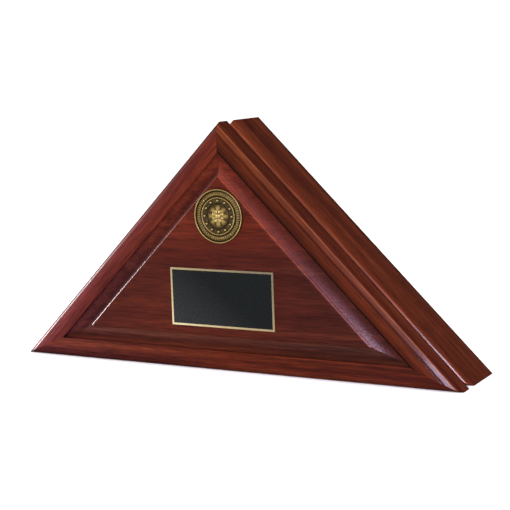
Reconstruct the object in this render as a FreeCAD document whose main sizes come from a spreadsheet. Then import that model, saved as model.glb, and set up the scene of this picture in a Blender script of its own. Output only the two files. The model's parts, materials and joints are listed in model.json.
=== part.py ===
import FreeCAD, Part
import Sketcher
import math
import os

# Folded flag display case: moulded front frame with a raised panel, mitred case, hinged rear door.
# Millimetres, +Z up, front towards -Y. Origin: middle of the underside, half way through the wooden depth.

doc = FreeCAD.newDocument("flag_case")
sheet = doc.addObject("Spreadsheet::Sheet", "Sizes")

# Independent sizes
SIZES = [
    ("case_width", 647.7),
    ("case_depth", 114.3),
    ("rail_depth", 38.1),
    ("sight_inset", 27.0),
    ("edge_round", 9.5),
    ("edge_step", 1.2),
    ("edge_land", 0.8),
    ("groove_bevel", 9.0),
    ("panel_lip", 8.2),
    ("tongue_thick", 6.0),
    ("tongue_play", 0.1),
    ("groove_deep", 9.5),
    ("panel_play", 1.0),
    ("field_inset", 47.0),
    ("field_step", 1.8),
    ("bevel_gap", 0.5),
    ("cutter_margin", 3.0),
    ("board_thick", 18.0),
    ("body_round", 9.0),
    ("rabbet_width", 8.0),
    ("door_thick", 9.0),
    ("door_recess", 0.5),
    ("door_play", 1.5),
    ("hinge_gap", 2.4),
    ("clip_height", 40.0),
    ("filler_play", 1.0),
    ("finger_radius", 11.0),
    ("finger_drop", 62.0),
    ("spline_thick", 4.0),
    ("spline_half", 5.0),
    ("rail_spline_near", 25.0),
    ("rail_spline_long", 26.0),
    ("rail_spline_top", 12.0),
    ("rail_spline_tall", 18.0),
    ("rail_spline_back", 26.0),
    ("board_spline_near", 22.0),
    ("board_spline_long", 18.0),
    ("board_spline_top", 10.0),
    ("board_spline_tall", 11.0),
    ("board_spline_back", 32.0),
    ("dowel_radius", 3.0),
    ("dowel_long", 24.0),
    ("dowel_inset", 13.5),
    ("dowel_spread", 170.0),
    ("dowel_near", 120.0),
    ("dowel_far", 360.0),
    ("block_height", 26.0),
    ("block_deep", 20.0),
    ("magnet_radius", 4.0),
    ("magnet_thick", 3.0),
    ("magnet_drop", 17.5),
    ("strike_radius", 6.0),
    ("strike_thick", 1.0),
    ("strike_gap", 0.2),
    ("hinge_spread", 150.0),
    ("leaf_long", 40.0),
    ("leaf_thick", 1.0),
    ("leaf_gap", 0.6),
    ("barrel_radius", 2.5),
    ("barrel_gap", 0.2),
    ("knuckle_gap", 0.2),
    ("pin_radius", 1.25),
    ("pin_play", 0.05),
    ("screw_radius", 1.2),
    ("screw_head", 2.4),
    ("screw_spread", 13.0),
    ("case_screw_long", 7.0),
    ("door_screw_long", 12.0),
    ("strike_screw_long", 5.0),
    ("medal_radius", 34.925),
    ("medal_height", 204.0),
    ("medal_thick", 2.4),
    ("rim_width", 2.6),
    ("rim_rise", 1.4),
    ("ring_radius", 24.5),
    ("ring_width", 1.4),
    ("ring_rise", 0.9),
    ("bead_radius", 1.5),
    ("bead_circle", 28.4),
    ("boss_radius", 4.6),
    ("petal_long", 7.4),
    ("petal_wide", 3.3),
    ("petal_rise", 1.6),
    ("petal_circle", 12.6),
    ("post_radius", 1.5),
    ("post_long", 7.0),
    ("post_spread", 20.0),
    ("plate_width", 152.4),
    ("plate_height", 76.2),
    ("plate_middle", 96.5),
    ("plate_thick", 1.2),
    ("plate_border", 3.0),
    ("tape_thick", 0.3),
    ("tape_inset", 2.0),
]

# Sizes that follow from the ones above
DERIVED = [
    ("root_two", "sqrt(2)"),
    ("half_width", "case_width / 2"),
    ("front", "-case_depth / 2"),
    ("rear", "case_depth / 2"),
    ("joint", "front + rail_depth"),
    ("side_long", "case_width / root_two"),
    ("mitre_meet", "half_width / (1 + root_two)"),
    ("land_inset", "edge_round + edge_land"),
    ("round_end", "edge_step + edge_round"),
    ("groove_back", "panel_lip + tongue_thick + 2 * tongue_play"),
    ("groove_inset", "sight_inset - groove_deep"),
    ("tongue_inset", "groove_inset + panel_play"),
    ("tongue_front", "panel_lip + tongue_play"),
    ("panel_thick", "tongue_front + tongue_thick"),
    ("panel_half", "half_width - tongue_inset * (1 + root_two)"),
    ("panel_top", "half_width - tongue_inset * root_two"),
    ("bevel_foot", "sight_inset + bevel_gap"),
    ("rabbet_depth", "door_thick + door_recess"),
    ("rabbet_inset", "board_thick - rabbet_width"),
    ("rabbet_half", "half_width - rabbet_inset * (1 + root_two)"),
    ("ledge", "rear - rabbet_depth"),
    ("door_rear", "rear - door_recess"),
    ("door_bottom", "rabbet_inset + hinge_gap"),
    ("door_top", "half_width - (rabbet_inset + door_play) * root_two"),
    ("clip_top", "door_bottom + clip_height"),
    ("clip_half", "door_top - clip_top"),
    ("filler_half", "clip_half + filler_play"),
    ("filler_top", "half_width - rabbet_inset * root_two - filler_half"),
    ("block_top", "half_width - board_thick * root_two"),
    ("block_bottom", "block_top - block_height"),
    ("catch_height", "block_top - magnet_drop"),
    ("finger_height", "door_top - finger_drop"),
    ("axis_y", "rear + barrel_gap + barrel_radius"),
    ("axis_z", "rabbet_inset + hinge_gap / 2"),
    ("leaf_front", "ledge + leaf_gap"),
    ("leaf_deep", "rabbet_depth - leaf_gap - barrel_gap"),
    ("leaf_middle", "leaf_front + leaf_deep / 2"),
    ("knuckle_long", "(leaf_long - 2 * knuckle_gap) / 3"),
    ("rim_inside", "medal_radius - rim_width"),
    ("ring_inside", "ring_radius - ring_width"),
    ("rim_thick", "medal_thick + rim_rise"),
    ("ring_thick", "medal_thick + ring_rise"),
]


def fill_sheet():
    """Write every size into the sheet under its own name."""
    rows = [(name, str(value)) for name, value in SIZES]
    rows += [(name, "=" + rule) for name, rule in DERIVED]
    for row, (name, content) in enumerate(rows, 1):
        sheet.set(f"A{row}", name)
        sheet.set(f"B{row}", content)
        sheet.setAlias(f"B{row}", name)
    doc.recompute()


fill_sheet()
NAMES = [name for name, _ in SIZES] + [name for name, _ in DERIVED]


def formula(text):
    """Turn a formula in size names into one that points at the sheet."""
    words = text.replace("(", " ( ").replace(")", " ) ").split()
    return " ".join("Sizes." + word if word in NAMES else word for word in words)


def number(text):
    """Add up a coordinate written as size names with plus and minus signs."""
    total = 0.0
    sign = 1.0
    for word in text.split():
        if word in "+-":
            sign = 1.0 if word == "+" else -1.0
        elif word != "0":
            total += sign * float(sheet.get(word))
            sign = 1.0
    return total


def bind(thing, **sizes):
    """Tie properties of one object to the sheet."""
    for name, text in sizes.items():
        thing.setExpression(name, formula(text))
    return thing


def place(thing, x="0", y="0", z="0"):
    """Tie the position of one object to the sheet."""
    for axis, text in (("x", x), ("y", y), ("z", z)):
        if text != "0":
            thing.setExpression("Placement.Base." + axis, formula(text))
    return thing


def turn(thing, axis, angle):
    """Set the rotation of one object."""
    thing.Placement.Rotation = FreeCAD.Rotation(FreeCAD.Vector(*axis), angle)
    return thing


# Solid builders
FIRST_END = 1
LAST_END = 2


def pin_point(sketch, line, end, point):
    """Hold one end of a sketch line at two sheet distances."""
    for kind, across, text in (("DistanceX", -2, point[0]), ("DistanceY", -1, point[1])):
        value = number(text)
        if abs(value) < 1e-9:
            sketch.addConstraint(Sketcher.Constraint("PointOnObject", line, end, across))
            continue
        held = sketch.addConstraint(Sketcher.Constraint(kind, -1, 1, line, end, value))
        sketch.setExpression(f"Constraints[{held}]", formula(text))


def outline(sketch, points, rounded=None):
    """Draw a closed outline; the rounded corner (centre, radius) replaces its last edge by an arc."""
    spots = [FreeCAD.Vector(number(a), number(b), 0) for a, b in points]
    count = len(points)
    straight = count - 1 if rounded else count
    for i in range(straight):
        sketch.addGeometry(Part.LineSegment(spots[i], spots[(i + 1) % count]))
    for i in range(1, straight):
        sketch.addConstraint(Sketcher.Constraint("Coincident", i - 1, 2, i, 1))
    if rounded:
        close_with_arc(sketch, spots, rounded)
    else:
        sketch.addConstraint(Sketcher.Constraint("Coincident", count - 1, 2, 0, 1))
    for i in range(straight):
        pin_point(sketch, i, FIRST_END, points[i])
    if rounded:
        pin_point(sketch, straight - 1, LAST_END, points[-1])


def close_with_arc(sketch, spots, rounded):
    """Join the last point to the first by a quarter round."""
    centre = FreeCAD.Vector(number(rounded[0]), number(rounded[1]), 0)
    circle = Part.Circle(centre, FreeCAD.Vector(0, 0, 1), number(rounded[2]))
    arc = sketch.addGeometry(Part.ArcOfCircle(circle, math.pi, 1.5 * math.pi))
    last = arc - 1
    sketch.addConstraint(Sketcher.Constraint("Coincident", arc, 1, 0, 1))
    sketch.addConstraint(Sketcher.Constraint("Coincident", arc, 2, last, 2))
    held = sketch.addConstraint(Sketcher.Constraint("Radius", arc, number(rounded[2])))
    sketch.setExpression(f"Constraints[{held}]", formula(rounded[2]))


def padded(name, plane_role, points, depth, rounded=None):
    """Make a body by padding one outline drawn on an origin plane."""
    body = doc.addObject("PartDesign::Body", name)
    sketch = body.newObject("Sketcher::SketchObject", name + "_outline")
    plane = [item for item in body.Origin.OriginFeatures if item.Role == plane_role][0]
    sketch.AttachmentSupport = [(plane, "")]
    sketch.MapMode = "FlatFace"
    outline(sketch, points, rounded)
    pad = body.newObject("PartDesign::Pad", name + "_pad")
    pad.Profile = sketch
    bind(pad, Length=depth)
    sketch.Visibility = False
    body.Tip = pad
    return body


def plate(name, points, depth, rear_face):
    """Make a flat piece from an outline in the XZ plane, ending at its rear face."""
    return place(padded(name, "XZ_Plane", points, depth), y=rear_face)


def box(name, x, y, z, length, width, height):
    """Make a block from its low corner and its three sizes."""
    block = doc.addObject("Part::Box", name)
    bind(block, Length=length, Width=width, Height=height)
    return place(block, x, y, z)


def rod(name, radius, long, x, y, z, axis="Z"):
    """Make a cylinder that starts at a point and runs along one axis."""
    cylinder = doc.addObject("Part::Cylinder", name)
    bind(cylinder, Radius=radius, Height=long)
    if axis == "X":
        turn(cylinder, (0, 1, 0), 90)
    if axis == "Y":
        turn(cylinder, (1, 0, 0), -90)
    return place(cylinder, x, y, z)


def group(name, pieces):
    """Gather separate solids under one name."""
    gathered = doc.addObject("Part::Compound", name)
    gathered.Links = pieces
    return gathered


def joined(name, pieces):
    """Fuse several solids into one."""
    fused = doc.addObject("Part::MultiFuse", name)
    fused.Shapes = pieces
    return fused


def cut(name, base, tools):
    """Take one or more solids out of another."""
    tool = tools[0] if len(tools) == 1 else group(name + "_tools", tools)
    result = doc.addObject("Part::Cut", name)
    result.Base = base
    result.Tool = tool
    return result


# The three sides of the triangle: along runs the length, inward points at the middle
SIDES = {
    "bottom": {"long": "case_width", "meet": "half_width", "x": "- half_width", "z": "0", "angle": 0},
    "left": {"long": "side_long", "meet": "mitre_meet", "x": "0", "z": "half_width", "angle": 135},
    "right": {"long": "side_long", "meet": "half_width", "x": "half_width", "z": "0", "angle": -135},
}


def mitre_wedge(name, side):
    """Make the wedge of the triangle that lies nearest to one side."""
    wedge = doc.addObject("Part::Wedge", name)
    bind(wedge, Xmax=side["long"], X2min=side["meet"], X2max=side["meet"], Ymax="mitre_meet")
    bind(wedge, Zmin="front", Zmax="rear", Z2min="front", Z2max="rear")
    wedge.Xmin = 0
    wedge.Ymin = 0
    return turn(wedge, (1, 0, 0), 90)


def mitred(name, side_name, points, rounded):
    """Run a moulding along one side of the triangle and mitre both ends."""
    side = SIDES[side_name]
    strip = padded(name + "_strip", "YZ_Plane", points, side["long"], rounded)
    wedge = mitre_wedge(name + "_mitre", side)
    common = doc.addObject("Part::Common", name + "_mitred")
    common.Base = strip
    common.Tool = wedge
    turn(common, (0, 1, 0), side["angle"])
    return place(common, x=side["x"], z=side["z"])


def along_side(name, side_name, points):
    """Run an outline along one whole side of the triangle."""
    side = SIDES[side_name]
    strip = padded(name, "YZ_Plane", points, side["long"])
    turn(strip, (0, 1, 0), side["angle"])
    return place(strip, x=side["x"], z=side["z"])


RAIL_OUTLINE = [
    ("front + edge_step", "edge_round"),
    ("front + edge_step", "land_inset"),
    ("front", "land_inset"),
    ("front", "sight_inset"),
    ("front + panel_lip", "sight_inset"),
    ("front + panel_lip", "groove_inset"),
    ("front + groove_back", "groove_inset"),
    ("front + groove_back", "sight_inset"),
    ("joint", "sight_inset"),
    ("joint", "groove_bevel"),
    ("joint - groove_bevel", "0"),
    ("front + round_end", "0"),
]
RAIL_ROUND = ("front + round_end", "edge_round", "edge_round")

BOARD_OUTLINE = [
    ("joint", "body_round"),
    ("joint", "board_thick"),
    ("ledge", "board_thick"),
    ("ledge", "rabbet_inset"),
    ("rear", "rabbet_inset"),
    ("rear", "0"),
    ("joint + body_round", "0"),
]
BOARD_ROUND = ("joint + body_round", "body_round", "body_round")

BEVEL_OUTLINE = [
    ("front - cutter_margin", "tongue_inset - cutter_margin"),
    ("front - cutter_margin", "field_inset"),
    ("front + field_step", "field_inset"),
    ("front + tongue_front", "bevel_foot"),
    ("front + tongue_front", "tongue_inset - cutter_margin"),
]


# Hidden splines and dowels
def corner_spline(name, near, long, back, corner):
    """Make one spline across a mitre; corner gives its position and the way it points."""
    spline = doc.addObject("Part::Box", name)
    bind(spline, Length=long, Width="spline_thick", Height="2 * spline_half")
    x, z, angle = corner
    turn(spline, (0, 1, 0), -angle)
    lean = math.radians(angle)
    along = (f"{math.cos(lean):.9f}", f"{math.sin(lean):.9f}")
    across = (f"{math.sin(lean):.9f}", f"{-math.cos(lean):.9f}")
    return place(
        spline,
        f"{x} + {near} * {along[0]} + spline_half * {across[0]}",
        f"front + {back}",
        f"{z} + {near} * {along[1]} + spline_half * {across[1]}",
    )


CORNERS = {
    "left": ("-1 * half_width", "0", 22.5),
    "right": ("half_width", "0", 157.5),
    "top": ("0", "half_width", 270.0),
}


def splines(name, prefix):
    """Make the three splines of one mitred frame."""
    made = []
    for corner_name, corner in CORNERS.items():
        near, long = "_spline_near", "_spline_long"
        if corner_name == "top":
            near, long = "_spline_top", "_spline_tall"
        back = "joint - front + board_spline_back" if prefix == "board" else "rail_spline_back"
        piece = corner_spline(f"{name}_{corner_name}", prefix + near, prefix + long, back, corner)
        made.append(piece)
    return group(name, made)


def dowels():
    """Make the dowels between the front frame and the case."""
    start = "joint - dowel_long / 2"
    made = []
    for count, sign in enumerate(("-1", "1")):
        spots = [(f"{sign} * dowel_spread", "dowel_inset")]
        for far in ("dowel_near", "dowel_far"):
            x = f"{sign} * ( half_width - ( {far} + dowel_inset ) / root_two )"
            spots.append((x, f"( {far} - dowel_inset ) / root_two"))
        for place_number, (x, z) in enumerate(spots):
            name = f"dowel_{count}_{place_number}"
            made.append(rod(name, "dowel_radius", "dowel_long", x, start, z, "Y"))
    return group("joining_dowels", made)


rail_splines = splines("front_mitre_splines", "rail")
board_splines = splines("case_mitre_splines", "board")
joining_dowels = dowels()


# Screws with countersunk heads
def screw(name, x, y, z, shank, way):
    """Make a screw whose head lies flush at a point and whose shank runs up, down or back."""
    head = doc.addObject("Part::Cone", name + "_head")
    bind(head, Radius1="screw_head", Radius2="screw_radius", Height="leaf_thick")
    stem = doc.addObject("Part::Cylinder", name + "_stem")
    bind(stem, Radius="screw_radius", Height=shank)
    place(stem, z="leaf_thick")
    whole = joined(name, [head, stem])
    if way == "down":
        turn(whole, (1, 0, 0), 180)
    if way == "back":
        turn(whole, (1, 0, 0), -90)
    return place(whole, x, y, z)


def leaf_screws(name, z, shank, way):
    """Make the screws of both hinges on one of their sides."""
    made = []
    for hinge in ("-1", "1"):
        for end in ("-1", "1"):
            x = f"{hinge} * hinge_spread + {end} * screw_spread"
            made.append(screw(f"{name}_{len(made)}", x, "leaf_middle", z, shank, way))
    return group(name, made)


case_screws = leaf_screws("hinge_case_screws", "rabbet_inset + leaf_thick", "case_screw_long", "down")
door_screws = leaf_screws("hinge_door_screws", "door_bottom - leaf_thick", "door_screw_long", "up")
strike_screw = screw("strike_screw", "0", "ledge + strike_gap", "catch_height",
                     "strike_screw_long", "back")


# Hinges
def knuckle(name, x, z_low):
    """Make one barrel knuckle with the strap that ties it to its leaf."""
    barrel = rod(name + "_barrel", "barrel_radius", "knuckle_long", x, "axis_y", "axis_z", "X")
    reach = "axis_y - leaf_front"
    strap = box(name + "_strap", x, "leaf_front", z_low, "knuckle_long", reach, "leaf_thick")
    return [barrel, strap]


def hinge_leaf(name, hinge, side):
    """Make one leaf: the case leaf carries the outer knuckles, the door leaf the middle one."""
    start = f"{hinge} * hinge_spread - leaf_long / 2"
    z_low = "rabbet_inset" if side == "case" else "door_bottom - leaf_thick"
    flat = box(name + "_flat", start, "leaf_front", z_low, "leaf_long", "leaf_deep", "leaf_thick")
    pieces = [flat]
    steps = (0, 2) if side == "case" else (1,)
    for step in steps:
        x = f"{start} + {step} * ( knuckle_long + knuckle_gap )"
        pieces += knuckle(f"{name}_knuckle_{step}", x, z_low)
    solid = joined(name + "_solid", pieces)
    bore_size = "pin_radius" if side == "case" else "pin_radius + pin_play"
    bore = rod(name + "_bore", bore_size, "leaf_long", start, "axis_y", "axis_z", "X")
    screws = case_screws if side == "case" else door_screws
    return cut(name, solid, [bore, screws])


def hinge_pin(name, hinge):
    """Make the pin that runs the length of one hinge."""
    start = f"{hinge} * hinge_spread - leaf_long / 2"
    return rod(name, "pin_radius", "leaf_long", start, "axis_y", "axis_z", "X")


# Front frame and raised panel
rails = [
    cut(f"front_{side}_rail", mitred(f"rail_{side}", side, RAIL_OUTLINE, RAIL_ROUND),
        [rail_splines, joining_dowels])
    for side in SIDES
]

posts = group("medallion_posts", [
    rod(f"post_{side}", "post_radius", "post_long", f"{sign} * post_spread", "front", "medal_height", "Y")
    for side, sign in (("left", "-1"), ("right", "1"))
])
panel_blank = plate("panel_blank", [
    ("- panel_half", "tongue_inset"),
    ("panel_half", "tongue_inset"),
    ("0", "panel_top"),
], "panel_thick", "front + panel_thick")
bevels = [along_side(f"bevel_{side}", side, BEVEL_OUTLINE) for side in SIDES]
raised_panel = cut("raised_panel", panel_blank, bevels + [posts])


# Medallion: plain rings, beads and a rosette
BEAD_COUNT = 24
PETAL_COUNT = 8


def disc(name, radius, thick):
    """Make a round slice of the medallion standing out from the panel."""
    return rod(name, radius, thick, "0", f"front - {thick}", "medal_height", "Y")


def ring(name, outer, inner, thick):
    """Make a raised ring on the face of the medallion."""
    whole = disc(name + "_whole", outer, thick)
    middle = disc(name + "_middle", inner, thick)
    return cut(name, whole, [middle])


def around(name, count, circle, maker):
    """Repeat a small ornament round the middle of the medallion."""
    made = []
    for step in range(count):
        angle = 2 * math.pi * step / count
        ornament = maker(f"{name}_{step}", math.degrees(angle))
        x = f"{circle} * {math.cos(angle):.9f}"
        z = f"medal_height + {circle} * {math.sin(angle):.9f}"
        made.append(place(ornament, x, "front - medal_thick", z))
    return made


def bead(name, angle):
    """Make one round bead."""
    ball = doc.addObject("Part::Sphere", name)
    return bind(ball, Radius="bead_radius")


def petal(name, angle):
    """Make one petal of the rosette, pointing outwards."""
    leaf = doc.addObject("Part::Ellipsoid", name)
    bind(leaf, Radius1="petal_wide", Radius2="petal_long", Radius3="petal_rise")
    return turn(leaf, (0, 1, 0), -angle)


medal_disc = disc("medal_disc", "medal_radius", "medal_thick")
medal_rim = ring("medal_rim", "medal_radius", "rim_inside", "rim_thick")
medal_ring = ring("medal_ring", "ring_radius", "ring_inside", "ring_thick")
medal_boss = doc.addObject("Part::Sphere", "medal_boss")
bind(medal_boss, Radius="boss_radius")
place(medal_boss, "0", "front - medal_thick + boss_radius / 2", "medal_height")
beads = around("bead", BEAD_COUNT, "bead_circle", bead)
petals = around("petal", PETAL_COUNT, "petal_circle", petal)
ornaments = joined("medal_ornaments", [medal_disc, medal_rim, medal_ring, medal_boss] + beads + petals)
behind = box("medal_behind", "-1 * medal_radius", "front", "medal_height - medal_radius",
             "2 * medal_radius", "2 * boss_radius", "2 * medal_radius")
medallion = cut("medallion", ornaments, [behind])

# Nameplate
tape = box("nameplate_adhesive", "-1 * plate_width / 2 + tape_inset", "front - tape_thick",
           "plate_middle - plate_height / 2 + tape_inset",
           "plate_width - 2 * tape_inset", "tape_thick", "plate_height - 2 * tape_inset")
plate_face = box("nameplate_face", "-1 * plate_width / 2 + plate_border",
                 "front - tape_thick - plate_thick", "plate_middle - plate_height / 2 + plate_border",
                 "plate_width - 2 * plate_border", "plate_thick", "plate_height - 2 * plate_border")
plate_whole = box("plate_whole", "-1 * plate_width / 2", "front - tape_thick - plate_thick",
                  "plate_middle - plate_height / 2", "plate_width", "plate_thick", "plate_height")
plate_edge = cut("nameplate_border", plate_whole, [plate_face])

# Case boards
board_tools = {
    "bottom": [board_splines, joining_dowels, case_screws],
    "left": [board_splines, joining_dowels],
    "right": [board_splines, joining_dowels],
}
board_names = {"bottom": "case_base", "left": "case_left_side", "right": "case_right_side"}
boards = [
    cut(board_names[side], mitred(f"board_{side}", side, BOARD_OUTLINE, BOARD_ROUND), board_tools[side])
    for side in SIDES
]

fillers = [
    plate(f"rear_corner_filler_{side}", [
        (f"{sign} filler_half", "rabbet_inset"),
        (f"{sign} rabbet_half", "rabbet_inset"),
        (f"{sign} filler_half", "filler_top"),
    ], "rabbet_depth", "rear")
    for side, sign in (("left", "-"), ("right", "+"))
]

magnet = rod("catch_magnet", "magnet_radius", "magnet_thick",
             "0", "ledge - magnet_thick", "catch_height", "Y")
block_blank = plate("block_blank", [
    ("- block_height", "block_bottom"),
    ("block_height", "block_bottom"),
    ("0", "block_top"),
], "block_deep", "ledge")
apex_block = cut("apex_block", block_blank, [magnet])

# Rear door
door_blank = plate("door_blank", [
    ("- clip_half", "door_bottom"),
    ("clip_half", "door_bottom"),
    ("clip_half", "clip_top"),
    ("0", "door_top"),
    ("- clip_half", "clip_top"),
], "door_thick", "door_rear")
strike_blank = rod("strike_blank", "strike_radius", "strike_thick",
                   "0", "ledge + strike_gap", "catch_height", "Y")
strike_pocket = rod("strike_pocket", "strike_radius", "strike_thick + strike_gap",
                    "0", "ledge", "catch_height", "Y")
finger_hole = rod("finger_hole", "finger_radius", "door_thick", "0", "ledge", "finger_height", "Y")
rear_door = cut("rear_door", door_blank, [strike_pocket, strike_screw, finger_hole, door_screws])
strike = cut("catch_strike", strike_blank, [strike_screw])

hinge_pieces = []
for hinge_side, hinge_sign in (("left", "-1"), ("right", "1")):
    hinge_pieces.append(hinge_leaf(f"hinge_case_leaf_{hinge_side}", hinge_sign, "case"))
    hinge_pieces.append(hinge_leaf(f"hinge_door_leaf_{hinge_side}", hinge_sign, "door"))
    hinge_pieces.append(hinge_pin(f"hinge_pin_{hinge_side}", hinge_sign))

# Check and write
NODES = rails + boards + fillers + hinge_pieces + [
    rail_splines, board_splines, joining_dowels, raised_panel, medallion, posts,
    tape, plate_face, plate_edge, magnet, apex_block, rear_door, strike, strike_screw,
    case_screws, door_screws,
]


def check_and_write():
    """Stop on any broken object, then write one file per piece."""
    doc.recompute()
    for thing in doc.Objects:
        if "Invalid" in thing.State or "Error" in thing.State:
            raise RuntimeError(f"{thing.Name} did not recompute: {thing.State}")
    os.makedirs("parts", exist_ok=True)
    for node in NODES:
        node.Label = node.Name
        if node.Shape.isNull() or not node.Shape.isValid():
            raise RuntimeError(f"{node.Name} has no valid shape")
        node.Shape.exportStep(os.path.join("parts", node.Name + ".step"))


check_and_write()
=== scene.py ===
import json
import math

import bpy
from mathutils import Matrix, Vector


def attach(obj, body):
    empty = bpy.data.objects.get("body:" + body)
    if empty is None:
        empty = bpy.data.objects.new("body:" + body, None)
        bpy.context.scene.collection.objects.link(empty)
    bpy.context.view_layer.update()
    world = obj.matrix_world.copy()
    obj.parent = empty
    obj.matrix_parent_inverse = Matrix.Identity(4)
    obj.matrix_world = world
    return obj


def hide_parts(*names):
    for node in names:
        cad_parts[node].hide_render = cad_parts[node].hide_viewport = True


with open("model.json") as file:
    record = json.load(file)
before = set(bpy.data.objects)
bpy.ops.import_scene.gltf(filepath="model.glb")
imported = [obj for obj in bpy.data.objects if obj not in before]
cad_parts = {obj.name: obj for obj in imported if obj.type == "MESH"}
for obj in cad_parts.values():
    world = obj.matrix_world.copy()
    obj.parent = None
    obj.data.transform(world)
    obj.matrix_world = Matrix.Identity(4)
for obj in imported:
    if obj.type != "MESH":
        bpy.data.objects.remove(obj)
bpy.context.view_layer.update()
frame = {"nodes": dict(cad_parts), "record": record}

NODES = frame["nodes"]
MM = 0.001


def node_box(name):
    """Give the lowest and the highest corner of a solid, in millimetres."""
    solid = NODES[name]
    corners = [solid.matrix_world @ Vector(corner) for corner in solid.bound_box]
    low = [round(min(values) / MM, 2) for values in zip(*corners)]
    high = [round(max(values) / MM, 2) for values in zip(*corners)]
    return low, high


# The driving sizes come from the solids. All sizes are in millimetres unless a comment says otherwise,
# and depths are counted from the front of the frame.
_, BASE_END = node_box("case_base")
RAIL_START, RAIL_END = node_box("front_bottom_rail")
PANEL_START, PANEL_END = node_box("raised_panel")
PLATE_START, PLATE_END = node_box("nameplate_border")
MEDAL_START, MEDAL_END = node_box("medallion")

# Whole case: a right-angled triangle standing on its long side
HALF = BASE_END[0]
WIDTH = 2 * HALF
FRONT = RAIL_START[1]
DEPTH = BASE_END[1] - FRONT
ROOT2 = math.sqrt(2)
SLANT = 1 / ROOT2
SIDE_LONG = WIDTH / ROOT2
SHARP = 1 + ROOT2

# Raised panel: its tongue, the foot of the bevel and the arris of the field
TONGUE_EDGE = PANEL_START[2]
TONGUE_BACK = PANEL_END[1] - FRONT
TONGUE_THICK = 6.0
TONGUE_FRONT = TONGUE_BACK - TONGUE_THICK
PANEL_PLAY = 0.1
BEVEL_FOOT = 0.5
FIELD = 47.0
FIELD_STEP = 1.8
ARRIS_ROUND = 4.5
ARRIS_CUTS = 10
FIELD_MARGIN = 1.0

# Front frame: the rounded outer edge, the step beside it, the groove for the panel and the rear bevel
RAIL_DEPTH = RAIL_END[1] - FRONT
SIGHT = RAIL_END[2]
EDGE_ROUND = 9.5
EDGE_LAND = 0.8
EDGE_STEP = 1.2
STEP_INSET = EDGE_ROUND + EDGE_LAND
GROOVE_GAP = 1.0
GROOVE_EDGE = TONGUE_EDGE - GROOVE_GAP
GROOVE_FRONT = TONGUE_FRONT - PANEL_PLAY
GROOVE_BACK = TONGUE_BACK + PANEL_PLAY
REAR_BEVEL = 9.0

# Case boards: rounded at the front, rabbeted at the rear for the door
BOARD_THICK = BASE_END[2]
BOARD_ROUND = 9.0
RABBET_WIDE = 8.0
RABBET_DEEP = 9.5
RABBET_INSET = BOARD_THICK - RABBET_WIDE
RABBET_FRONT = DEPTH - RABBET_DEEP

# Plate and medallion
PLATE_WIDE = 2 * PLATE_END[0]
PLATE_TALL = PLATE_END[2] - PLATE_START[2]
PLATE_MIDDLE = (PLATE_START[2] + PLATE_END[2]) / 2
BORDER_WIDE = 2.6
PLATE_BACK = -0.3
FACE_FRONT = -1.4
FACE_EASE = 0.1
BORDER_FRONT = -1.5
BORDER_EASE = 0.2
MEDAL_RADIUS = round(MEDAL_END[0], 1)
MEDAL_HEIGHT = round((MEDAL_START[2] + MEDAL_END[2]) / 2, 1)

# Easing of the door and the corner fillers
EASE = 0.7
EASE_CUTS = 3
WELD_GAP = 0.01

# Edges flatter than these angles, in degrees, are shaded as one smooth face
SMOOTH_ANGLE = 35.0
PANEL_SMOOTH = 20.0
MEDAL_SMOOTH = 50.0

# The three sides of the triangle: start point, way along, way inwards, length, and the mitre at each end
SIDES = {
    "bottom": ((-HALF, 0), (1, 0), (0, 1), WIDTH, SHARP, SHARP),
    "left": ((0, HALF), (-SLANT, -SLANT), (SLANT, -SLANT), SIDE_LONG, 1.0, SHARP),
    "right": ((HALF, 0), (-SLANT, SLANT), (-SLANT, -SLANT), SIDE_LONG, SHARP, 1.0),
}
BOARD_NODES = {"bottom": "case_base", "left": "case_left_side", "right": "case_right_side"}

# Wood colour from the darkest figure to the lightest, and the turn of its grain on each side, in degrees
WOOD_STOPS = [
    (0.26, (0.024, 0.0032, 0.0018)),
    (0.42, (0.054, 0.0074, 0.0033)),
    (0.56, (0.084, 0.0124, 0.0047)),
    (0.76, (0.145, 0.0270, 0.0078)),
]
GRAIN = {"bottom": 0.0, "left": 45.0, "right": -45.0}

# Noise along the grain: how it is drawn out, its detail and its distortion
FIGURE = ((1.5, 55.0, 55.0), 6.0, 0.6)
FIBRE = ((30.0, 460.0, 460.0), 4.0, 0.3)
PORES = ((30.0, 1500.0, 1500.0), 1.0, 0.0)
NOISE_ROUGHNESS = 0.6
FIBRE_STOPS = [(0.32, (0.52, 0.48, 0.48)), (0.62, (1.18, 1.16, 1.12))]
FIBRE_SHARE = 0.85
PORE_STOPS = [(0.30, (0.40, 0.36, 0.34)), (0.40, (1.0, 1.0, 1.0))]
PORE_SHARE = 0.8
GLOSS_STOPS = [(0.2, (0.40, 0.40, 0.40)), (0.8, (0.28, 0.28, 0.28))]
FIBRE_DEEP = 0.4

# Where each piece lies in the grain, in metres; for rails and boards also the stride to the next side
RAIL_GRAIN = ((0.0, 0.2, 0.0), (0.31, 0.0, 0.13))
BOARD_GRAIN = ((0.7, 0.5, 0.0), (0.17, 0.0, 0.23))
PANEL_GRAIN = (1.3, 0.9, 0.4)
FILLER_GRAIN = (2.1, 0.3, 0.8)
DOOR_GRAIN = (2.9, 0.1, 0.6)

# Tone and lacquer of each piece. The rail tones differ by side as painted light: the left rail is
# lighter and more violet, the right rail darker and warmer.
RAIL_TONE_AND_LIGHT = {"bottom": (1.27, 1.3, 1.25), "left": (1.42, 1.35, 2.0), "right": (0.92, 1.0, 0.62)}
RAIL_COAT = {"bottom": 0.5, "left": 0.13, "right": 0.19}
RAIL_BLUR = 0.08
BOARD_TONE = (1.20, 1.4, 1.12)
DOOR_COAT = 0.35
PANEL_TONE = (0.83, 0.86, 0.80)
PANEL_CALM = 1.6
PANEL_FINISH = {"coat": 0.6, "relief": 0.5, "sheen": 0.4, "tint": (1.0, 0.45, 0.5)}
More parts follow.
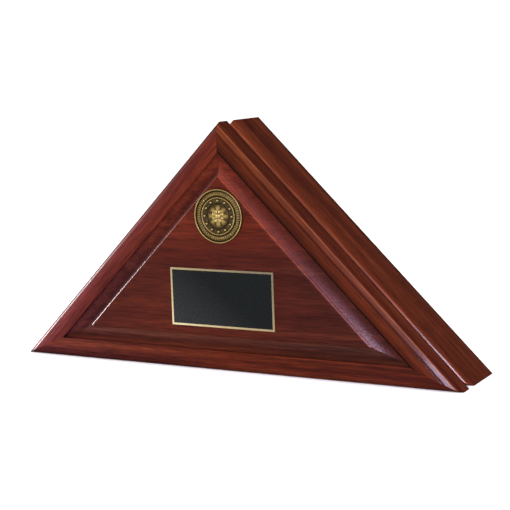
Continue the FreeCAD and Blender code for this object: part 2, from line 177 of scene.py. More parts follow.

# Painted light and shade across a rail, from the outer edge (0) to the inner edge (1). The bottom and
# left rails are darker and more violet at the outer part and lighter and warmer towards the inner part.
# On the right rail a painted highlight runs along the arris of the rounded edge, the round has a warm
# painted highlight, and painted shade lies in the step and at the inner edge. The inner edge of the left
# rail is lightened as painted light, and that of the bottom rail is darkened as painted shade.
SOFT_PAINTED_SHADE = [(0.975, (1.1, 1.1, 0.9)), (0.99, (0.80, 0.75, 0.80))]
PAINTED_LIGHT_EDGE = [(0.975, (1.1, 1.1, 0.9)), (0.99, (1.35, 1.30, 1.20))]
PAINTED_SHADE_EDGE = [(0.91, (0.90, 0.95, 0.90)), (0.93, (0.18, 0.20, 0.18))]
RAIL_PAINTED_ACROSS = {
    "bottom": [
        (0.0, (0.70, 0.66, 0.85)),
        (0.5, (0.88, 0.84, 1.0)),
        (0.72, (1.35, 1.40, 1.05)),
    ] + SOFT_PAINTED_SHADE,
    "left": [
        (0.0, (0.82, 0.95, 0.50)),
        (0.03, (0.95, 0.90, 1.15)),
        (0.5, (1.0, 0.95, 1.05)),
        (0.8, (1.12, 1.12, 0.75)),
    ] + PAINTED_LIGHT_EDGE,
    "right": [
        (0.080, (1.08, 1.15, 1.8)),
        # Painted highlight along the arris of the rounded edge
        (0.105, (2.6, 4.4, 4.6)),
        (0.130, (2.6, 4.4, 4.6)),
        # Warm painted highlight on the round
        (0.160, (1.15, 1.25, 0.9)),
        (0.330, (1.15, 1.25, 0.8)),
        # Painted shade in the step
        (0.365, (0.62, 0.58, 0.72)),
        (0.395, (0.62, 0.58, 0.72)),
        (0.430, (0.95, 0.97, 0.90)),
    ] + PAINTED_SHADE_EDGE,
}
# Painted light and shade along each rail, from its start to its end: lighter and more violet towards the
# lower left corner, warmer at the apex end of the left rail, darker towards the right end of the bottom
# rail and towards the top of the right rail
RAIL_PAINTED_ALONG = {
    "bottom": [
        (0.0, (1.15, 1.6, 2.9)),
        (0.5, (0.84, 0.90, 0.75)),
        (0.85, (0.85, 0.92, 0.95)),
        (0.95, (0.65, 0.7, 0.75)),
    ],
    "left": [
        (0.0, (1.05, 1.2, 0.75)),
        (0.5, (0.97, 1.2, 1.45)),
        (1.0, (0.97, 1.3, 2.4)),
    ],
    "right": [
        (0.12, (0.98, 0.94, 1.1)),
        (0.26, (1.0, 1.0, 1.0)),
        (0.4, (1.0, 1.0, 1.0)),
        (0.7, (0.84, 0.86, 0.82)),
        (1.0, (0.86, 0.90, 0.80)),
    ],
}
# Painted highlight along the rounded front edge of the case boards: direction, start, end and tones
BOARD_PAINTED_HIGHLIGHT = (
    (0, 1, 0), FRONT + RAIL_DEPTH, FRONT + RAIL_DEPTH + BOARD_ROUND,
    [(0.25, (2.2, 2.7, 2.2)), (0.42, (1.0, 1.0, 1.0))],
)
# Painted light and shade on the panel, from its foot to its top (more violet low, lighter and warmer
# high) and from left to right (more violet at the left, darker at the right)
PANEL_PAINTED_RISE = (
    (0, 0, 1), SIGHT, HALF - SIGHT,
    [
        (0.0, (1.08, 1.12, 1.1)),
        (0.4, (0.88, 0.93, 1.0)),
        (0.58, (1.27, 1.10, 0.70)),
        (0.75, (1.34, 1.12, 0.62)),
        (1.0, (1.58, 1.22, 0.52)),
    ],
)
PANEL_PAINTED_ACROSS = (
    (1, 0, 0), -HALF, HALF,
    [
        (0.15, (0.92, 0.98, 1.4)),
        (0.35, (1.14, 1.22, 1.2)),
        (0.52, (1.0, 1.05, 1.05)),
        (0.74, (0.76, 0.95, 1.05)),
    ],
)
# Painted light and shade across the panel's bevels, from the frame (0) to just inside the arris of the
# field (1): painted highlights along the arris of the field on the bottom and right bevels, a painted
# sheen on the right bevel, painted shade on the left bevel, and lightening next to the frame
BEVEL_REACH = 25.0
BEVEL_PAINTED_LIGHT = {
    "bottom": [
        (0.08, (1.20, 1.55, 1.45)),
        (0.24, (0.64, 0.72, 0.76)),
        (0.40, (0.76, 1.02, 1.45)),
        # Painted highlight along the arris of the field
        (0.56, (1.22, 2.15, 3.10)),
        (0.68, (1.32, 2.40, 3.50)),
        (0.76, (1.24, 1.95, 2.40)),
        (0.84, (1.15, 1.40, 1.45)),
        (0.92, (1.0, 1.0, 1.0)),
    ],
    "left": [
        (0.08, (1.15, 1.70, 3.20)),
        (0.36, (0.88, 1.05, 2.00)),
        # Painted shade on the left bevel
        (0.60, (0.62, 0.75, 1.40)),
        (0.74, (0.62, 0.75, 1.40)),
        (0.84, (1.0, 1.0, 1.0)),
    ],
    "right": [
        (0.06, (1.60, 1.90, 1.90)),
        (0.20, (1.00, 1.0, 0.95)),
        (0.45, (0.95, 0.82, 0.80)),
        (0.68, (0.98, 0.72, 0.70)),
        (0.76, (1.45, 1.10, 1.50)),
        # Painted highlight along the arris of the field
        (0.83, (2.20, 3.00, 4.60)),
        (0.87, (2.20, 3.00, 4.60)),
        (0.93, (1.30, 1.60, 2.40)),
        (0.98, (1.0, 1.0, 1.0)),
    ],
}

# Metal and plain colours. The medallion's run from its hollows to its high points; those of the plate
# and its border run along a slant as a painted reflection; the others run between the low and high
# values of the noise. A surface is the scale of its mottling and the range of its roughness.
NOISE_LOW = 0.3
NOISE_HIGH = 0.7
METAL_DETAIL = 5.0
PLAIN_DETAIL = 3.0
MEDAL_STOPS = [
    (0.20, (0.007, 0.007, 0.003)),
    (0.42, (0.050, 0.038, 0.010)),
    (0.62, (0.185, 0.125, 0.027)),
    (0.92, (0.500, 0.390, 0.115)),
]
MEDAL_SURFACE = (400.0, (0.30, 0.45))
MEDAL_HOLLOW = 1.5
MEDAL_TOP = 3.7
MEDAL_METAL = 0.55
BLACK_SHEEN_STOPS = [
    (0.1, (0.006, 0.0085, 0.0078)),
    (0.5, (0.0065, 0.009, 0.0082)),
    (1.0, (0.021, 0.0245, 0.0235)),
]
BLACK_SURFACE = (900.0, (0.24, 0.30))
BLACK_WAY = (-0.6, 0, -0.8)
BLACK_REACH = 76.0
BLACK_MOTTLE = 0.07
BLACK_METAL = 0.0
BORDER_GLINT_STOPS = [
    (0.05, (0.95, 0.88, 0.48)),
    (0.3, (0.66, 0.56, 0.27)),
    (1.0, (0.27, 0.23, 0.13)),
]
BORDER_SURFACE = (40.0, (0.24, 0.34))
BORDER_WAY = (0.5, 0, 0.87)
BORDER_REACH = 62.0
BRASS_STOPS = [(NOISE_LOW, (0.36, 0.26, 0.10)), (NOISE_HIGH, (0.52, 0.39, 0.17))]
BRASS_SURFACE = (150.0, (0.26, 0.40))
STEEL_STOPS = [(NOISE_LOW, (0.34, 0.34, 0.36)), (NOISE_HIGH, (0.46, 0.46, 0.47))]
STEEL_SURFACE = (200.0, (0.25, 0.38))
RAW_STOPS = [(NOISE_LOW, (0.30, 0.17, 0.08)), (NOISE_HIGH, (0.46, 0.29, 0.15))]
RAW_SURFACE = (120.0, (0.6, 0.75))
TAPE_STOPS = [(NOISE_LOW, (0.45, 0.45, 0.44)), (NOISE_HIGH, (0.60, 0.60, 0.58))]
TAPE_SURFACE = (300.0, (0.55, 0.7))
FLOOR_STOPS = [(NOISE_LOW, (0.90, 0.90, 0.90)), (NOISE_HIGH, (0.93, 0.93, 0.93))]
FLOOR_SURFACE = (3.0, (0.85, 0.95))

# Studio, in metres and watts; each light has its long side along a direction
FLOOR_REACH = 40.0
FLOOR_GLOW = 0.18
SKY_LEVEL = 1.22
SKY_IN_GLOSS = 0.02
SLOPE = (0.63, 0.45, 0.63)
LIGHTS = {
    "violet_strip": {
        "place": (1.02, -2.4, 1.04),
        "aim": (0.3, -0.05, 0.03),
        "size": (3.0, 0.16),
        "power": 62,
        "colour": (0.76, 0.71, 1.0),
        "along": SLOPE,
    },
    "warm_strip": {
        "place": (0.04, -2.6, 1.6),
        "aim": (0.02, -0.05, 0.3),
        "size": (2.2, 0.4),
        "power": 13,
        "colour": (1.0, 0.32, 0.17),
        "along": SLOPE,
    },
    "left_box": {
        "place": (-2.3, -0.24, 0.4),
        "aim": (-0.2, 0, 0.1),
        "size": (0.30, 0.55),
        "power": 36,
        "colour": (1, 1, 1),
        "along": (0, 1, 0),
    },
}

# Where the photograph was taken from, in metres, with the tilt of the horizon in degrees
CAMERA_PLACE = (0.8747, -1.5463, 0.4092)
CAMERA_AIM = (0.0504, -0.0566, 0.1558)
CAMERA_ROLL = -1.915
CAMERA_LENS = 96.0
CAMERA_SENSOR = 36.0


# Mesh helpers
def new_piece(name, points, faces, smooth_angle=SMOOTH_ANGLE):
    """Make a mesh object from points in millimetres."""
    mesh = bpy.data.meshes.new(name)
    mesh.from_pydata([tuple(c * MM for c in p) for p in points], [], faces)
    mesh.validate()
    mesh.update()
    mesh.shade_smooth()
    mesh.set_sharp_from_angle(angle=math.radians(smooth_angle))
    piece = bpy.data.objects.new(name, mesh)
    bpy.context.scene.collection.objects.link(piece)
    return piece


def fit_out(piece, body, slot, material, *nodes):
    """Ride a piece on its body, paint it, and let it stand for its solids."""
    piece.data.materials.append(material)
    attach(piece, body)
    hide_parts(*nodes)


def arc(middle, radius, first, last, number):
    """Give points on the shorter arc between two directions."""
    start = math.atan2(first.y, first.x)
    sweep = math.atan2(last.y, last.x) - start
    sweep = (sweep + math.pi) % (2 * math.pi) - math.pi
    points = []
    for step in range(number + 1):
        angle = start + sweep * step / number
        points.append((middle.x + radius * math.cos(angle), middle.y + radius * math.sin(angle)))
    return points


def rounded(corners, steps=5):
    """Round the corners of a closed outline; each corner is (a, b, radius)."""
    out = []
    count = len(corners)
    for i, (a, b, radius) in enumerate(corners):
        if radius <= 0:
            out.append((a, b))
            continue
        here = Vector((a, b))
        before = (Vector(corners[i - 1][:2]) - here).normalized()
        after = (Vector(corners[(i + 1) % count][:2]) - here).normalized()
        half_angle = before.angle(after) / 2
        reach = radius / math.tan(half_angle)
        middle = here + (before + after).normalized() * (radius / math.sin(half_angle))
        number = max(2, int(steps * max(1.0, radius ** 0.5)))
        out += arc(middle, radius, here + before * reach - middle, here + after * reach - middle, number)
    return out


def joined_rings(first, size, low_ring, high_ring):
    """Give the faces between two rings of points, counted from a first point."""
    low = first + low_ring * size
    high = first + high_ring * size
    faces = []
    for i in range(size):
        j = (i + 1) % size
        faces.append((low + i, high + i, high + j, low + j))
    return faces


def side_point(side, inset, along, depth):
    """Place a point on one side of the triangle."""
    start, way, inward = side[:3]
    x = start[0] + way[0] * along + inward[0] * inset
    z = start[1] + way[1] * along + inward[1] * inset
    return (x, FRONT + depth, z)


def mitred_strip(name, side_name, corners, cuts=12):
    """Run a moulding along one side, mitred at both ends."""
    side = SIDES[side_name]
    long, near, far = side[3:]
    profile = rounded(corners)
    points = []
    for step in range(cuts + 1):
        share = step / cuts
        for inset, depth in profile:
            first = inset * near
            last = long - inset * far
            points.append(side_point(side, inset, first + (last - first) * share, depth))
    count = len(profile)
    faces = []
    for step in range(cuts):
        low, high = step * count, (step + 1) * count
        for i in range(count):
            j = (i + 1) % count
            faces.append((low + i, low + j, high + j, high + i))
    faces.append(tuple(range(count - 1, -1, -1)))
    faces.append(tuple(range(cuts * count, (cuts + 1) * count)))
    return new_piece(name, points, faces)


def triangle_loop(inset, depth):
    """Give the three corners of the triangle at an inset and a depth."""
    half = HALF - inset * SHARP
    return [
        (-half, FRONT + depth, inset),
        (half, FRONT + depth, inset),
        (0, FRONT + depth, HALF - inset * ROOT2),
    ]


def stacked_triangles(name, loops):
    """Skin a stack of triangles from back to front and close both ends."""
    points = []
    for inset, depth in loops:
        points += triangle_loop(inset, depth)
    faces = [(0, 1, 2)]
    for level in range(len(loops) - 1):
        faces += joined_rings(0, 3, level, level + 1)
    top = 3 * len(loops) - 3
    faces.append((top + 2, top + 1, top))
    return new_piece(name, points, faces, PANEL_SMOOTH)


# Material helpers
def shader(name):
    """Start a material and give its tree and main shader."""
    material = bpy.data.materials.new(name)
    material.use_nodes = True
    tree = material.node_tree
    return material, tree, tree.nodes["Principled BSDF"]


def ramp(tree, source, stops):
    """Turn a value into a colour."""
    made = tree.nodes.new("ShaderNodeValToRGB")
    band = made.color_ramp
    while len(band.elements) < len(stops):
        band.elements.new(0.5)
    for element, (place, colour) in zip(band.elements, stops):
        element.position = place
        element.color = (*colour, 1.0)
    tree.links.new(source, made.inputs["Fac"])
    return made.outputs["Color"]


def mixed(tree, kind, factor, first, second):
    """Blend two colours."""
    made = tree.nodes.new("ShaderNodeMix")
    made.data_type = "RGBA"
    made.blend_type = kind
    if isinstance(factor, float):
        made.inputs["Factor"].default_value = factor
    else:
        tree.links.new(factor, made.inputs["Factor"])
    tree.links.new(first, made.inputs["A"])
    tree.links.new(second, made.inputs["B"])
    return made.outputs["Result"]


def combined(tree, operation, first, second):
    """Work out one value from two."""
    made = tree.nodes.new("ShaderNodeMath")
    made.operation = operation
    tree.links.new(first, made.inputs[0])
    tree.links.new(second, made.inputs[1])
    return made.outputs["Value"]


def measure(tree, direction, start, end):
    """Give 0 to 1 between two distances, in millimetres, along a direction."""
    coords = tree.nodes.new("ShaderNodeTexCoord")
    along = tree.nodes.new("ShaderNodeVectorMath")
    along.operation = "DOT_PRODUCT"
    along.inputs[1].default_value = direction
    tree.links.new(coords.outputs["Object"], along.inputs[0])
    level = tree.nodes.new("ShaderNodeMapRange")
    level.inputs["From Min"].default_value = start * MM
    level.inputs["From Max"].default_value = end * MM
    tree.links.new(along.outputs["Value"], level.inputs["Value"])
    return level.outputs["Result"]


def stretched_noise(tree, turn, shift, stretch, detail, distortion):
    """Give noise drawn out along the grain."""
    coords = tree.nodes.new("ShaderNodeTexCoord")
    turned = tree.nodes.new("ShaderNodeMapping")
    turned.inputs["Rotation"].default_value = (0, math.radians(turn), 0)
    turned.inputs["Location"].default_value = shift
    drawn = tree.nodes.new("ShaderNodeMapping")
    drawn.inputs["Scale"].default_value = stretch
    noise = tree.nodes.new("ShaderNodeTexNoise")
    noise.inputs["Scale"].default_value = 1.0
    noise.inputs["Detail"].default_value = detail
    noise.inputs["Roughness"].default_value = NOISE_ROUGHNESS
    noise.inputs["Distortion"].default_value = distortion
    tree.links.new(coords.outputs["Object"], turned.inputs["Vector"])
    tree.links.new(turned.outputs["Vector"], drawn.inputs["Vector"])
    tree.links.new(drawn.outputs["Vector"], noise.inputs["Vector"])
    return noise.outputs["Fac"]


def even_noise(tree, scale, detail):
    """Give noise that is the same in every direction."""
    coords = tree.nodes.new("ShaderNodeTexCoord")
    noise = tree.nodes.new("ShaderNodeTexNoise")
    noise.inputs["Scale"].default_value = scale
    noise.inputs["Detail"].default_value = detail
    tree.links.new(coords.outputs["Object"], noise.inputs["Vector"])
    return noise.outputs["Fac"]


def roughen(tree, main, source, roughness):
    """Let the roughness wander between two values."""
    low, high = roughness
    gloss = ramp(tree, source, [(NOISE_LOW, (low,) * 3), (NOISE_HIGH, (high,) * 3)])
    tree.links.new(gloss, main.inputs["Roughness"])


# Wood
def across_side(side_name, near, far, stops):
    """Give a change of tone between two insets from one side of the triangle."""
    start, _, inward = SIDES[side_name][:3]
    outer = start[0] * inward[0] + start[1] * inward[1]
    return ((inward[0], 0, inward[1]), outer + near, outer + far, stops)


def rail_painted_light(side_name):
    """Give the painted light and shade across a rail and along it."""
    start, way, _, long = SIDES[side_name][:4]
    first = start[0] * way[0] + start[1] * way[1]
    along = ((way[0], 0, way[1]), first, first + long, RAIL_PAINTED_ALONG[side_name])
    return [across_side(side_name, 0, SIGHT, RAIL_PAINTED_ACROSS[side_name]), along]


def panel_bevel_light():
    """Give the painted light and shade across each bevel of the panel."""
    return [across_side(side, SIGHT, SIGHT + BEVEL_REACH, BEVEL_PAINTED_LIGHT[side]) for side in SIDES]


def paint_bevel_light(tree, colour, painted_bevels):
    """Paint light and shade on three bevels, each up to the mitres where it meets the next."""
    levels = [measure(tree, *bevel[:3]) for bevel in painted_bevels]
    for number, bevel in enumerate(painted_bevels):
        nearest = combined(tree, "MINIMUM", levels[number - 1], levels[number - 2])
        own = combined(tree, "LESS_THAN", levels[number], nearest)
        colour = mixed(tree, "MULTIPLY", own, colour, ramp(tree, levels[number], bevel[3]))
    return colour


def wood_grain(tree, turn, shift, tone, calm, fibre):
    """Give the colour of the figure, toned by the fibres and the pores."""
    stops = [
        (0.5 + (place - 0.5) * calm, tuple(a * b for a, b in zip(colour, tone)))
        for place, colour in WOOD_STOPS
    ]
    base = ramp(tree, stretched_noise(tree, turn, shift, *FIGURE), stops)
    toned = mixed(tree, "MULTIPLY", FIBRE_SHARE, base, ramp(tree, fibre, FIBRE_STOPS))
    pores = stretched_noise(tree, turn, shift, *PORES)
    return mixed(tree, "MULTIPLY", PORE_SHARE, toned, ramp(tree, pores, PORE_STOPS))


def lacquer(tree, main, fibre, coat=0.7, blur=0.16, relief=0.2, sheen=0.12, tint=(1, 1, 1)):
    """Lay a clear coat over the fibres and let them show in its relief."""
    tree.links.new(ramp(tree, fibre, GLOSS_STOPS), main.inputs["Roughness"])
    bump = tree.nodes.new("ShaderNodeBump")
    bump.inputs["Strength"].default_value = relief
    bump.inputs["Distance"].default_value = FIBRE_DEEP * MM
    tree.links.new(fibre, bump.inputs["Height"])
    tree.links.new(bump.outputs["Normal"], main.inputs["Normal"])
    tree.links.new(bump.outputs["Normal"], main.inputs["Coat Normal"])
    main.inputs["Specular IOR Level"].default_value = sheen
    main.inputs["Specular Tint"].default_value = (*tint, 1.0)
    main.inputs["Coat Weight"].default_value = coat
    main.inputs["Coat Roughness"].default_value = blur


def wood(name, turn, shift, tone, painted_fades=(), painted_bevels=(), calm=1.0, **finish):
    """Lacquered red-brown wood with its grain turned to run along the piece, with painted light and
    shade laid over its colour where given.
    """
    material, tree, main = shader(name)
    fibre = stretched_noise(tree, turn, shift, *FIBRE)
    colour = wood_grain(tree, turn, shift, tone, calm, fibre)
    # Lay the painted light and shade over the colour, one tone ramp at a time
    for direction, start, end, stops in painted_fades:
        level = measure(tree, direction, start, end)
        colour = mixed(tree, "MULTIPLY", 1.0, colour, ramp(tree, level, stops))
    colour = paint_bevel_light(tree, colour, painted_bevels)
    tree.links.new(colour, main.inputs["Base Color"])
    lacquer(tree, main, fibre, **finish)
    return material


# Metal and plain surfaces
def metal(name, stops, scale, roughness, height=None, metallic=0.5, mottle=0.2):
    """Metal with soft tarnish; with a height (direction, start, end), the colour follows it, which on
    the plate and its border is a painted reflection.
    """
    material, tree, main = shader(name)
    noise = even_noise(tree, scale, METAL_DETAIL)
    source = noise
    if height:
        blend = tree.nodes.new("ShaderNodeMath")
        blend.operation = "MULTIPLY_ADD"
        blend.inputs[1].default_value = mottle
        tree.links.new(noise, blend.inputs[0])
        tree.links.new(measure(tree, *height), blend.inputs[2])
        source = blend.outputs["Value"]
    tree.links.new(ramp(tree, source, stops), main.inputs["Base Color"])
    roughen(tree, main, noise, roughness)
    main.inputs["Metallic"].default_value = metallic
    return material


def speckled(name, stops, scale, roughness):
    """Plain surface with a fine speckle."""
    material, tree, main = shader(name)
    noise = even_noise(tree, scale, PLAIN_DETAIL)
    tree.links.new(ramp(tree, noise, stops), main.inputs["Base Color"])
    roughen(tree, main, noise, roughness)
    return material


# Front frame, case and raised panel; each corner of an outline is (inset, depth, radius)
RAIL = [
    (STEP_INSET, 0, 0.4),
    (SIGHT, 0, 0.8),
    (SIGHT, GROOVE_FRONT, 0),
    (GROOVE_EDGE, GROOVE_FRONT, 0),
    (GROOVE_EDGE, GROOVE_BACK, 0),
    (SIGHT, GROOVE_BACK, 0),
    (SIGHT, RAIL_DEPTH, 0.5),
    (REAR_BEVEL, RAIL_DEPTH, 0),
    (0, RAIL_DEPTH - REAR_BEVEL, 1.0),
    (0, EDGE_STEP, EDGE_ROUND),
    (STEP_INSET, EDGE_STEP, 0.3),
]
BOARD = [
    (BOARD_THICK, RAIL_DEPTH, 0),
    (BOARD_THICK, RABBET_FRONT, 0.4),
    (RABBET_INSET, RABBET_FRONT, 0),
    (RABBET_INSET, DEPTH, 0.6),
    (0, DEPTH, 0.8),
    (0, RAIL_DEPTH, BOARD_ROUND),
]


def grain_place(grain, number):
    """Give the place of one of three like pieces in the grain."""
    first, stride = grain
    return tuple(a + b * number for a, b in zip(first, stride))


def build_rail(number, side):
    """Make one rail of the front frame."""
    rail = mitred_strip(f"rail_{side}", side, RAIL)
    look = wood(
        f"rail_wood_{side}", GRAIN[side], grain_place(RAIL_GRAIN, number), RAIL_TONE_AND_LIGHT[side],
        rail_painted_light(side), coat=RAIL_COAT[side], blur=RAIL_BLUR,
    )
    fit_out(rail, "case", "frame_wood", look, f"front_{side}_rail")


def build_board(number, side):
    """Make one board of the case."""
    board = mitred_strip(f"board_{side}", side, BOARD)
    shift = grain_place(BOARD_GRAIN, number)
    look = wood(f"board_wood_{side}", GRAIN[side], shift, BOARD_TONE, [BOARD_PAINTED_HIGHLIGHT])
    fit_out(board, "case", "case_wood", look, BOARD_NODES[side])


def build_panel():
    """Make the panel from the back of its tongue to its flat field."""
    loops = [
        (TONGUE_EDGE, TONGUE_BACK),
        (TONGUE_EDGE, TONGUE_FRONT),
        (SIGHT + BEVEL_FOOT, TONGUE_FRONT),
        (FIELD - PANEL_PLAY / 2, FIELD_STEP + PANEL_PLAY),
    ]
    for step in range(ARRIS_CUTS + 1):
        angle = math.pi / 2 * step / ARRIS_CUTS
        inset = FIELD + ARRIS_ROUND * (1 - math.cos(angle))
        loops.append((inset, FIELD_STEP * (1 - math.sin(angle))))
    loops.append((FIELD + ARRIS_ROUND + FIELD_MARGIN, 0))
    panel = stacked_triangles("panel", loops)
    painted_fades = [PANEL_PAINTED_RISE, PANEL_PAINTED_ACROSS]
    look = wood(
        "panel_wood", GRAIN["bottom"], PANEL_GRAIN, PANEL_TONE, painted_fades,
        panel_bevel_light(), PANEL_CALM, **PANEL_FINISH,
    )
    fit_out(panel, "case", "panel_wood", look, "raised_panel")


def build_woodwork():
    """Make the frame, the case boards and the panel."""
    for number, side in enumerate(SIDES):
        build_rail(number, side)
        build_board(number, side)
    build_panel()


# Medallion: a rim, a ticked band, a ring, twelve dots and a rosette. A ridge is its middle radius,
# its half width and its rise; a level is a height above the panel.
RIM_LEVEL = 1.9
RIM_RIDGE = (34.1, 0.75, 1.6)
BAND_INSIDE = 24.6
BAND_LEVEL = 1.8
BAND_RIDGE = (28.9, 2.9, 1.2)
BAND_TICKS = 60
TICK_SWAY = 0.5
TICK_WAVES = 9
BLUNT = 0.6
FACE_LEVEL = 2.3
RING_RIDGE = (23.8, 0.8, 0.7)
DOTS = 12
DOT_CIRCLE = 20.0
DOT_RIDGE = (0, 1.6, 1.0)
DOT_MOAT = (2.1, 0.7, -0.6)
HOLLOW = (16.2, 1.1, -0.6)
PETALS = 8
PETAL_START = 2.0
PETAL_LEVEL = 1.6
PETAL_ROWS = ((15.5, 1.5, 0.0), (9.5, 1.9, math.pi / PETALS))
BOSS_LEVEL = 2.0
BOSS_RIDGE = (0, 3.4, 1.9)
MEDAL_RINGS = 110
MEDAL_SPOKES = 288


def ridge(value, middle, half, rise):
    """Give the height of a round ridge, or of a hollow where the rise is below zero."""
    across = abs(value - middle) / half
    return rise * math.sqrt(1 - across * across) if across < 1 else 0.0


def band_level(radius, angle):
    """Give the height of the rim and the ticked band inside it."""
    rim = RIM_LEVEL + ridge(radius, *RIM_RIDGE)
    tick = abs(math.sin(BAND_TICKS / 2 * angle + TICK_SWAY * math.sin(TICK_WAVES * radius)))
    return max(rim, BAND_LEVEL + ridge(radius, *BAND_RIDGE) * tick ** BLUNT)


def rosette_level(radius, angle):
    """Give the height of the two rows of petals and the boss in the middle."""
    level = 0.0
    for reach, rise, offset in PETAL_ROWS:
        if PETAL_START < radius < reach:
            across = abs(math.cos(PETALS / 2 * (angle + offset))) ** BLUNT
            share = (radius - PETAL_START) / (reach - PETAL_START)
            level = max(level, PETAL_LEVEL + rise * across * math.sqrt(math.sin(math.pi * share)))
    return max(level, BOSS_LEVEL + ridge(radius, *BOSS_RIDGE))


def medal_level(radius, angle):
    """Give the height of the medallion face above the panel."""
    if radius > BAND_INSIDE:
        return band_level(radius, angle)
    step = math.pi / DOTS
    nearest = (angle + step) % (2 * step) - step
    away = math.hypot(radius * math.cos(nearest) - DOT_CIRCLE, radius * math.sin(nearest))
    level = FACE_LEVEL + ridge(radius, *RING_RIDGE) + ridge(radius, *HOLLOW)
    level += ridge(away, *DOT_MOAT) + ridge(away, *DOT_RIDGE)
    return max(level, rosette_level(radius, angle))


def medal_points():
    """Give the middle of the face, its rings outwards, and the ring behind the rim."""
    points = [(0, FRONT - medal_level(0, 0), MEDAL_HEIGHT)]
    for ring in range(1, MEDAL_RINGS + 1):
        radius = MEDAL_RADIUS * ring / MEDAL_RINGS
        for spoke in range(MEDAL_SPOKES):
            angle = 2 * math.pi * spoke / MEDAL_SPOKES
            x = radius * math.cos(angle)
            z = MEDAL_HEIGHT + radius * math.sin(angle)
            points.append((x, FRONT - medal_level(radius, angle), z))
    return points + [(x, FRONT, z) for x, _, z in points[-MEDAL_SPOKES:]]


def build_medallion():
    """Make the medallion as a disc with a raised face."""
    points = medal_points()
    faces = [(0, 1 + i, 1 + (i + 1) % MEDAL_SPOKES) for i in range(MEDAL_SPOKES)]
    for ring in range(MEDAL_RINGS):
        faces += joined_rings(1, MEDAL_SPOKES, ring, ring + 1)
    back = len(points) - MEDAL_SPOKES
    faces.append(tuple(range(len(points) - 1, back - 1, -1)))
    piece = new_piece("medal", points, faces, MEDAL_SMOOTH)
    height = ((0, -1, 0), MEDAL_HOLLOW - FRONT, MEDAL_TOP - FRONT)
    look = metal("antique_brass_look", MEDAL_STOPS, *MEDAL_SURFACE, height, MEDAL_METAL)
    fit_out(piece, "case", "antique_brass", look, "medallion")


# Nameplate
def plate_points(inset_from_edge, levels):
    """Give four corners for each level, which is an inset and a depth."""
    points = []
    for inset, depth in levels:
        x = PLATE_WIDE / 2 - inset_from_edge - inset
        z = PLATE_TALL / 2 - inset_from_edge - inset
        for a, b in ((-x, -z), (x, -z), (x, z), (-x, z)):
            points.append((a, FRONT + depth, PLATE_MIDDLE + b))
    return points


def plate_slant(way, reach):
    """Give a direction across the plate and where it starts and ends."""
    middle = way[2] * PLATE_MIDDLE
    return (way, middle - reach, middle + reach)


def build_plate_face():
    """Make the bare black plate with a softened front edge."""
    levels = [(0, PLATE_BACK), (0, FACE_FRONT + FACE_EASE), (FACE_EASE, FACE_FRONT)]
    faces = [(0, 1, 2, 3), (11, 10, 9, 8)]
    faces += joined_rings(0, 4, 0, 1)
    faces += joined_rings(0, 4, 1, 2)
    piece = new_piece("plate_face", plate_points(BORDER_WIDE, levels), faces)
    # The black lightens along a slant towards the lower left as a painted reflection
    slant = plate_slant(BLACK_WAY, BLACK_REACH)
    look = metal("plate_black_look", BLACK_SHEEN_STOPS, *BLACK_SURFACE, slant, BLACK_METAL, BLACK_MOTTLE)
    fit_out(piece, "case", "plate_black", look, "nameplate_face")


def build_plate_border():
    """Make the thin brass frame round the plate with softened edges."""
    levels = [
        (0, PLATE_BACK),
        (0, BORDER_FRONT + BORDER_EASE),
        (BORDER_EASE, BORDER_FRONT),
        (BORDER_WIDE - BORDER_EASE, BORDER_FRONT),
        (BORDER_WIDE, BORDER_FRONT + BORDER_EASE),
        (BORDER_WIDE, PLATE_BACK),
    ]
    faces = []
    for level in range(len(levels)):
        faces += joined_rings(0, 4, level, (level + 1) % len(levels))
    piece = new_piece("plate_border", plate_points(0, levels), faces)
    # The brass is bright towards the lower left and dark towards the upper right as a painted reflection
    slant = plate_slant(BORDER_WAY, BORDER_REACH)
    look = metal("plate_brass_look", BORDER_GLINT_STOPS, *BORDER_SURFACE, slant)
    fit_out(piece, "case", "plate_brass", look, "nameplate_border")


# Solids that stay as they are and get a finish, and three that also get eased edges
def eased_copy(name, node_name, body, slot, look):
    """Stand a copy with eased edges in for a solid."""
    piece = bpy.data.objects.new(name, NODES[node_name].data.copy())
    piece.data.materials.clear()
    bpy.context.scene.collection.objects.link(piece)
    weld = piece.modifiers.new("weld", "WELD")
    weld.merge_threshold = WELD_GAP * MM
    bevel = piece.modifiers.new("ease", "BEVEL")
    bevel.width = EASE * MM
    bevel.segments = EASE_CUTS
    bevel.limit_method = "ANGLE"
    bevel.angle_limit = math.radians(SMOOTH_ANGLE)
    fit_out(piece, body, slot, look, node_name)


def solid_looks():
    """Give the finish for each slot whose solids show as they are."""
    brass = metal("hinge_brass_look", BRASS_STOPS, *BRASS_SURFACE)
    return {
        "case_wood": wood("block_wood", GRAIN["bottom"], FILLER_GRAIN, BOARD_TONE),
        "door_wood": wood("door_wood_look", GRAIN["bottom"], DOOR_GRAIN, BOARD_TONE, coat=DOOR_COAT),
        "hidden_wood": speckled("raw_wood", RAW_STOPS, *RAW_SURFACE),
        "hinge_brass": brass,
        "screw_brass": brass,
        "antique_brass": brass,
        "steel": metal("steel_look", STEEL_STOPS, *STEEL_SURFACE),
        "adhesive": speckled("tape_look", TAPE_STOPS, *TAPE_SURFACE),
    }


def dress_nodes():
    """Paint the solids, and ease the edges of the door and the corner fillers."""
    looks = solid_looks()
    for part in frame["record"]["subparts"]:
        look = looks.get(part["material_slot"])
        if look is None:
            continue
        solid = NODES[part["node"]]
        solid.data.materials.clear()
        solid.data.materials.append(look)
    eased_copy("door_eased", "rear_door", "rear_door", "door_wood", looks["door_wood"])
    for side in ("left", "right"):
        filler = f"rear_corner_filler_{side}"
        eased_copy(f"filler_eased_{side}", filler, "case", "case_wood", looks["case_wood"])


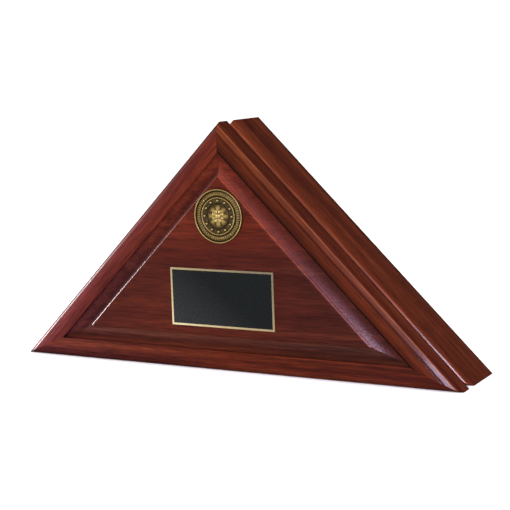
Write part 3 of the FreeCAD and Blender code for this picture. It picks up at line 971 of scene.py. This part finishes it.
# Floor, light and camera
def facing(place, aim, along):
    """Give a turn that looks from a place at a spot, with its width along a direction."""
    back = (Vector(place) - Vector(aim)).normalized()
    side = (Vector(along) - back * back.dot(Vector(along))).normalized()
    return Matrix((side, back.cross(side), back)).transposed().to_4x4()


def area_light(name, place, aim, size, power, colour, along):
    """Add a soft light that points at a spot, with its long side laid along a direction."""
    data = bpy.data.lights.new(name, "AREA")
    data.shape = "RECTANGLE"
    data.size, data.size_y = size
    data.energy = power
    data.color = colour
    lamp = bpy.data.objects.new(name, data)
    lamp.matrix_world = Matrix.Translation(place) @ facing(place, aim, along)
    bpy.context.scene.collection.objects.link(lamp)


def build_floor():
    """Lay a pale floor that glows a little and stays out of reflections."""
    mesh = bpy.data.meshes.new("floor")
    reach = FLOOR_REACH
    corners = [(-reach, -reach, 0), (reach, -reach, 0), (reach, reach, 0), (-reach, reach, 0)]
    mesh.from_pydata(corners, [], [(0, 1, 2, 3)])
    floor = bpy.data.objects.new("floor", mesh)
    bpy.context.scene.collection.objects.link(floor)
    pale = speckled("floor_pale", FLOOR_STOPS, *FLOOR_SURFACE)
    glow = pale.node_tree.nodes["Principled BSDF"]
    glow.inputs["Emission Color"].default_value = (1, 1, 1, 1)
    glow.inputs["Emission Strength"].default_value = FLOOR_GLOW
    mesh.materials.append(pale)
    floor.visible_glossy = False


def build_sky():
    """Surround the part with white light that hardly shows in reflections."""
    world = bpy.data.worlds.new("studio")
    world.use_nodes = True
    tree = world.node_tree
    sky = tree.nodes["Background"]
    sky.inputs["Color"].default_value = (1, 1, 1, 1)
    path = tree.nodes.new("ShaderNodeLightPath")
    level = tree.nodes.new("ShaderNodeMapRange")
    level.inputs["To Min"].default_value = SKY_LEVEL
    level.inputs["To Max"].default_value = SKY_IN_GLOSS
    tree.links.new(path.outputs["Is Glossy Ray"], level.inputs["Value"])
    tree.links.new(level.outputs["Result"], sky.inputs["Strength"])
    bpy.context.scene.world = world


def build_stage():
    """Set the floor, the sky and the lights."""
    build_floor()
    build_sky()
    for name, light in LIGHTS.items():
        area_light(name, **light)


def build_camera():
    """Stand the camera where the photograph was taken from."""
    data = bpy.data.cameras.new("camera")
    data.lens = CAMERA_LENS
    data.sensor_width = CAMERA_SENSOR
    back = (Vector(CAMERA_PLACE) - Vector(CAMERA_AIM)).normalized()
    level = Vector((0, 0, 1)).cross(back).normalized()
    roll = math.radians(CAMERA_ROLL)
    right = level * math.cos(roll) + back.cross(level) * math.sin(roll)
    camera = bpy.data.objects.new("camera", data)
    camera.matrix_world = Matrix.Translation(CAMERA_PLACE) @ facing(CAMERA_PLACE, CAMERA_AIM, right)
    bpy.context.scene.collection.objects.link(camera)
    bpy.context.scene.camera = camera


build_woodwork()
build_medallion()
build_plate_face()
build_plate_border()
dress_nodes()
build_stage()
build_camera()
bpy.context.scene.view_settings.view_transform = "Standard"
